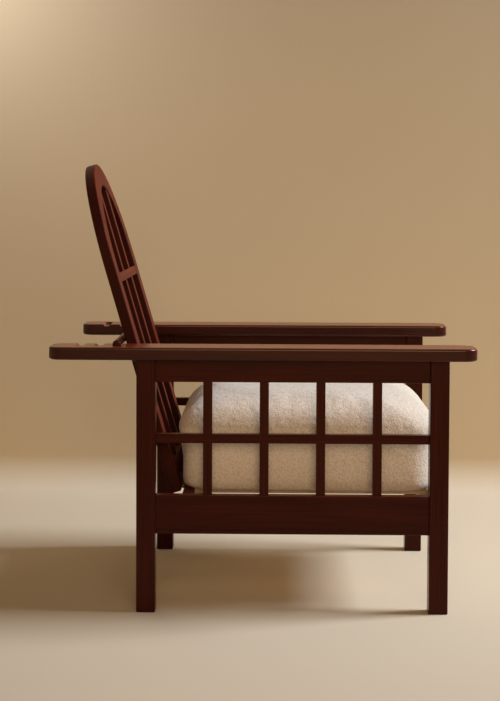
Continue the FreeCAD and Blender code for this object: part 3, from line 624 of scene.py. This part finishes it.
# %% Cushion limits
SWELL_CAP = 6 * MM                     # how far a point may travel at most
DRAW_CAP = 2 * MM                      # how far a point may be pulled inwards
SOLE_HEIGHT = 80 * MM                  # the filling keeps its shape near the slats
SIDE_CLEARANCE = 4 * MM                # kept to the posts and lattice bars
BACK_CLEARANCE = 2 * MM                # kept to the leaning back
post_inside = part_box("front_post_left")[0].y
side_limit = post_inside - SIDE_CLEARANCE
hinge = next(joint for joint in frame["joints"] if joint["name"] == "back_recline")
hinge_x, _, hinge_z = hinge["pos_m"]


def limited_travel(vertex, end):
    """A point's way to where the cloth took it, capped, and eased to nothing at the slats."""
    travel = end - vertex.co
    if travel.length > SWELL_CAP:
        travel = travel.normalized() * SWELL_CAP
    inward = -travel.dot(vertex.normal) - DRAW_CAP
    if inward > 0:
        travel += vertex.normal * inward
    rise = min(1.0, (vertex.co.z - cushion_low.z) / SOLE_HEIGHT)
    return travel * (rise * rise * (3 - 2 * rise))


def kept_in_seat(place):
    """A place moved, where needed, above the slats, between the sides and before the back."""
    height = max(place.z, cushion_low.z)
    back_face = hinge_x + BACK_CLEARANCE - (height - hinge_z) * math.tan(BACK_LEAN)
    return Vector((max(place.x, back_face), max(-side_limit, min(side_limit, place.y)), height))


for vertex, end in zip(cushion.data.vertices, swollen_places):
    vertex.co = kept_in_seat(vertex.co + limited_travel(vertex, end))
print("cushion kept within", round(side_limit / MM), "mm of the middle")

# %% Cushion smoothing
EASE_PASSES = 5                        # rounds of smoothing that take out sharp creases
EASE_SHARE = 0.5                       # how far a point moves to its neighbours' middle each round


def press_flat(piece):
    """Lifts what has sunk into the slats back onto them."""
    for vertex in piece.data.vertices:
        vertex.co.z = max(vertex.co.z, cushion_low.z)


eased = cushion.modifiers.new("eased", "SMOOTH")
eased.factor = EASE_SHARE
eased.iterations = EASE_PASSES
finer = cushion.modifiers.new("finer", "SUBSURF")
finer.levels = 1
finer.render_levels = 1
keep_modified(cushion)
press_flat(cushion)
for face in cushion.data.polygons:
    face.use_smooth = True
spans = [[round(f(v.co[i] for v in cushion.data.vertices), 3) for f in (min, max)] for i in range(3)]
print("cushion after swelling:", spans)

# %% [markdown]
# Lumps of the looped cloth
#
# Bump only bends the light, so with bump alone the cushion would keep a smooth, hard outline. The points
# themselves move in and out by less than a millimetre on a soft cloud pattern, so that its outline is
# woolly too. The underside stays pressed flat on the slats.

# %% Cushion lumps
LUMP_SIZE = 11 * MM
LUMP_HEIGHT = 1.6 * MM                 # from the deepest hollow to the highest lump
lumps = bpy.data.textures.new("wool_lumps", "CLOUDS")
lumps.noise_scale = LUMP_SIZE
lumps.noise_depth = 1
lumpy = cushion.modifiers.new("wool_lumps", "DISPLACE")
lumpy.texture = lumps
lumpy.texture_coords = "LOCAL"
lumpy.strength = LUMP_HEIGHT
lumpy.mid_level = 0.5
keep_modified(cushion)
press_flat(cushion)
cushion.data.materials.clear()
cushion.data.materials.append(ivory_wool)
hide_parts("seat_cushion")
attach(cushion, "cushion")
print("cushion:", len(cushion.data.polygons), "faces")

# %% [markdown]
# Floor and backdrop
#
# The chair stands on a studio sweep: a pale warm paper that runs along the floor and curves up into the
# background, so that no hard line crosses the picture. Two flat planes would be simpler but would leave
# that line, so it is a strip of quads bent through a quarter turn. So that the chair can be looked at
# from all round, the paper is seen from its front only, a second strip carries the floor on behind it,
# and both fade into the surround away from the chair.

# %% One-sided paper
TINT_HEIGHT = 0.10                     # from the floor up to this height the paper turns warmer
PAPER_STEPS = [(0.0, "dfd2ba"), (1.0, "d6bf98")]
PAPER_ROUGHNESS = 0.85
PAPER_WHOLE = 2.6                      # this far from the chair the paper begins to fade out
PAPER_GONE = 4.6
LEVEL = (1.0, 1.0, 0.0)                # leaves the height out of a distance


def paper_tone(tree, place):
    """The paper's colour, paler on the floor than on the backdrop."""
    height = add_node(tree, "ShaderNodeSeparateXYZ", {"Vector": place})
    rise = add_node(tree, "ShaderNodeMapRange", {"Value": height.outputs["Z"], "From Max": TINT_HEIGHT})
    tone = add_node(tree, "ShaderNodeValToRGB", {"Fac": rise.outputs["Result"]})
    colour_steps(tone, PAPER_STEPS)
    return tone.outputs["Color"]


def paper_clearness(tree, place):
    """1 where the paper is not to be seen: on its back, and far from the chair."""
    plan = add_node(tree, "ShaderNodeVectorMath", {0: place, 1: LEVEL}, operation="MULTIPLY")
    reach = add_node(tree, "ShaderNodeVectorMath", {0: plan.outputs["Vector"]}, operation="LENGTH")
    end = add_node(tree, "ShaderNodeMapRange", {
        "Value": reach.outputs["Value"],
        "From Min": PAPER_WHOLE,
        "From Max": PAPER_GONE,
    }, interpolation_type="SMOOTHSTEP")
    side = add_node(tree, "ShaderNodeNewGeometry")
    clear = add_node(tree, "ShaderNodeMath", {
        0: end.outputs["Result"],
        1: side.outputs["Backfacing"],
    }, operation="MAXIMUM")
    return clear.outputs[0]


def one_sided_paper(name):
    """Matt paper that is clear from behind and fades out away from the chair."""
    material, output = new_material(name)
    tree = material.node_tree
    place = add_node(tree, "ShaderNodeTexCoord").outputs["Object"]
    front = add_node(tree, "ShaderNodeBsdfPrincipled", {
        "Base Color": paper_tone(tree, place),
        "Roughness": PAPER_ROUGHNESS,
    })
    back = add_node(tree, "ShaderNodeBsdfTransparent")
    surface = add_node(tree, "ShaderNodeMixShader", {
        0: paper_clearness(tree, place),
        1: front.outputs["BSDF"],
        2: back.outputs["BSDF"],
    })
    tree.links.new(surface.outputs["Shader"], output.inputs["Surface"])
    return material


paper = one_sided_paper("warm_paper")
print("paper:", paper.name)

# %% Studio sweep and the floor behind it
FLOOR_FRONT = -6.2                     # well behind the camera
FLOOR_REAR = 6.2
SWEEP_BEND = 1.05                      # where the paper starts to rise, on the far side of the chair
SWEEP_RADIUS = 0.10
SWEEP_HEIGHT = 4.5
SWEEP_HALF_WIDTH = 6.2
SWEEP_STEPS = 24


def paper_strip(name, profile):
    """A strip of paper as wide as the studio, through (y, z) points from front to back."""
    points = [(x, y, z) for y, z in profile for x in (-SWEEP_HALF_WIDTH, SWEEP_HALF_WIDTH)]
    faces = [(2 * i, 2 * i + 1, 2 * i + 3, 2 * i + 2) for i in range(len(profile) - 1)]
    mesh = bpy.data.meshes.new(name)
    mesh.from_pydata(points, [], faces)
    for face in mesh.polygons:
        face.use_smooth = True
    mesh.materials.append(paper)
    strip = bpy.data.objects.new(name, mesh)
    scene.collection.objects.link(strip)
    return strip


sweep_profile = [(FLOOR_FRONT, 0.0), (SWEEP_BEND, 0.0)]
for step in range(1, SWEEP_STEPS + 1):
    turn = math.pi / 2 * step / SWEEP_STEPS
    bend_y = SWEEP_BEND + SWEEP_RADIUS * math.sin(turn)
    bend_z = SWEEP_RADIUS * (1 - math.cos(turn))
    sweep_profile.append((bend_y, bend_z))
sweep_profile.append((SWEEP_BEND + SWEEP_RADIUS, SWEEP_HEIGHT))
sweep = paper_strip("studio_sweep", sweep_profile)
far_floor = paper_strip("far_floor", [(SWEEP_BEND, 0.0), (FLOOR_REAR, 0.0)])
print("sweep:", len(sweep.data.polygons), "strips")

# %% [markdown]
# Light
#
# A large soft panel, high up before the chair's front, is the main light: arm tops and front edges shine,
# the side that the camera sees stays in shade, and a soft shadow falls to the rear. A weak warm panel by
# the camera opens that shade a little, and a third washes the top corner of the backdrop. A single lamp
# in the middle would light every side alike and flatten the lattice.

# %% Lamps
LAMPS = [  # name, place, what it is turned to, size, watts, colour, spread in degrees
    ("key_panel", (4.0, 0.1, 3.3), (0.0, 0.0, 0.35), 1.6, 72.0, "f3f7ff", 90),
    ("fill_panel", (0.3, -3.5, 1.45), (-0.1, 0.0, 0.35), 1.8, 5.5, "ffd9b0", 60),
    ("backdrop_wash", (-1.45, 0.62, 2.2), (-1.0, 1.22, 1.7), 0.5, 6.0, "eef1ff", 90),
]


def panel(name, place, target, size, watts, hex_colour, spread):
    """A square soft panel at a place, turned towards a target."""
    lamp = bpy.data.lights.new(name, "AREA")
    lamp.size = size
    lamp.energy = watts
    lamp.color = linear(hex_colour)[:3]
    lamp.spread = math.radians(spread)
    holder = bpy.data.objects.new(name, lamp)
    holder.location = place
    holder.rotation_euler = (Vector(target) - Vector(place)).to_track_quat("-Z", "Y").to_euler()
    scene.collection.objects.link(holder)
    return holder


panels = [panel(*lamp) for lamp in LAMPS]
print("lamps:", *[holder.name for holder in panels])

# %% [markdown]
# Surround
#
# Past the paper there is only the world. It gives the shade a little warm light, and that has to stay
# weak. Seen directly or in a reflection such a weak world would be nearly black, so rays from the camera
# and from shiny surfaces are shown a plain tan of about the backdrop's tone instead.

# %% World
SURROUND_FILL = "ffbf80"
SURROUND_STRENGTH = 0.06
SURROUND_SEEN = "b39470"
surround = bpy.data.worlds.new("warm_surround")
scene.world = surround
surround.use_nodes = True
surround_tree = surround.node_tree
surround_tree.nodes.clear()
surround_output = add_node(surround_tree, "ShaderNodeOutputWorld")
surround_fill = add_node(surround_tree, "ShaderNodeBackground", {
    "Color": linear(SURROUND_FILL),
    "Strength": SURROUND_STRENGTH,
})
surround_seen = add_node(surround_tree, "ShaderNodeBackground", {"Color": linear(SURROUND_SEEN)})
ray = add_node(surround_tree, "ShaderNodeLightPath")
shown_share = ray.outputs["Is Camera Ray"]
for kind in ("Is Glossy Ray", "Is Transmission Ray"):
    either = add_node(surround_tree, "ShaderNodeMath", {
        0: shown_share,
        1: ray.outputs[kind],
    }, operation="MAXIMUM")
    shown_share = either.outputs[0]
surround_light = add_node(surround_tree, "ShaderNodeMixShader", {
    0: shown_share,
    1: surround_fill.outputs["Background"],
    2: surround_seen.outputs["Background"],
})
surround_tree.links.new(surround_light.outputs["Shader"], surround_output.inputs["Surface"])
print("surround:", surround.name)

# %% [markdown]
# Camera
#
# The picture was taken from the side with a long lens, from about the height of the chair's back. The
# camera's place and turn were worked out from the edges of arms, posts and rails, which is surer than
# moving it by eye. A vertical shift of the lens then frames the chair and leaves its posts upright.

# %% Camera
PICTURE_HEIGHT = 701
FOCAL_PIXELS = 1537.64                 # focal length in pixels of the picture
CENTRE_ROW = 260.28                    # picture row that the lens points at
CAMERA_PLACE = Vector((20.8, -3688.1, 917.0)) * MM
CAMERA_YAW = -0.0148
CAMERA_PITCH = 0.0406                  # downwards
CAMERA_ROLL = 0.0041
SENSOR = 36.0
forward = Vector((
    math.sin(CAMERA_YAW) * math.cos(CAMERA_PITCH),
    math.cos(CAMERA_YAW) * math.cos(CAMERA_PITCH),
    -math.sin(CAMERA_PITCH),
))
level_right = Vector((math.cos(CAMERA_YAW), -math.sin(CAMERA_YAW), 0.0))
level_up = level_right.cross(forward)
right = level_right * math.cos(CAMERA_ROLL) + level_up * math.sin(CAMERA_ROLL)
up = level_up * math.cos(CAMERA_ROLL) - level_right * math.sin(CAMERA_ROLL)
lens = bpy.data.cameras.new("side_camera")
lens.sensor_width = SENSOR
lens.lens = FOCAL_PIXELS * SENSOR / PICTURE_HEIGHT
lens.shift_y = -(PICTURE_HEIGHT / 2 - CENTRE_ROW) / PICTURE_HEIGHT
camera = bpy.data.objects.new("side_camera", lens)
camera_turn = Matrix((right, up, -forward)).transposed()
camera.matrix_world = Matrix.Translation(CAMERA_PLACE) @ camera_turn.to_4x4()
scene.collection.objects.link(camera)
scene.camera = camera
print("camera lens", round(lens.lens, 2), "mm, shift", round(lens.shift_y, 4))
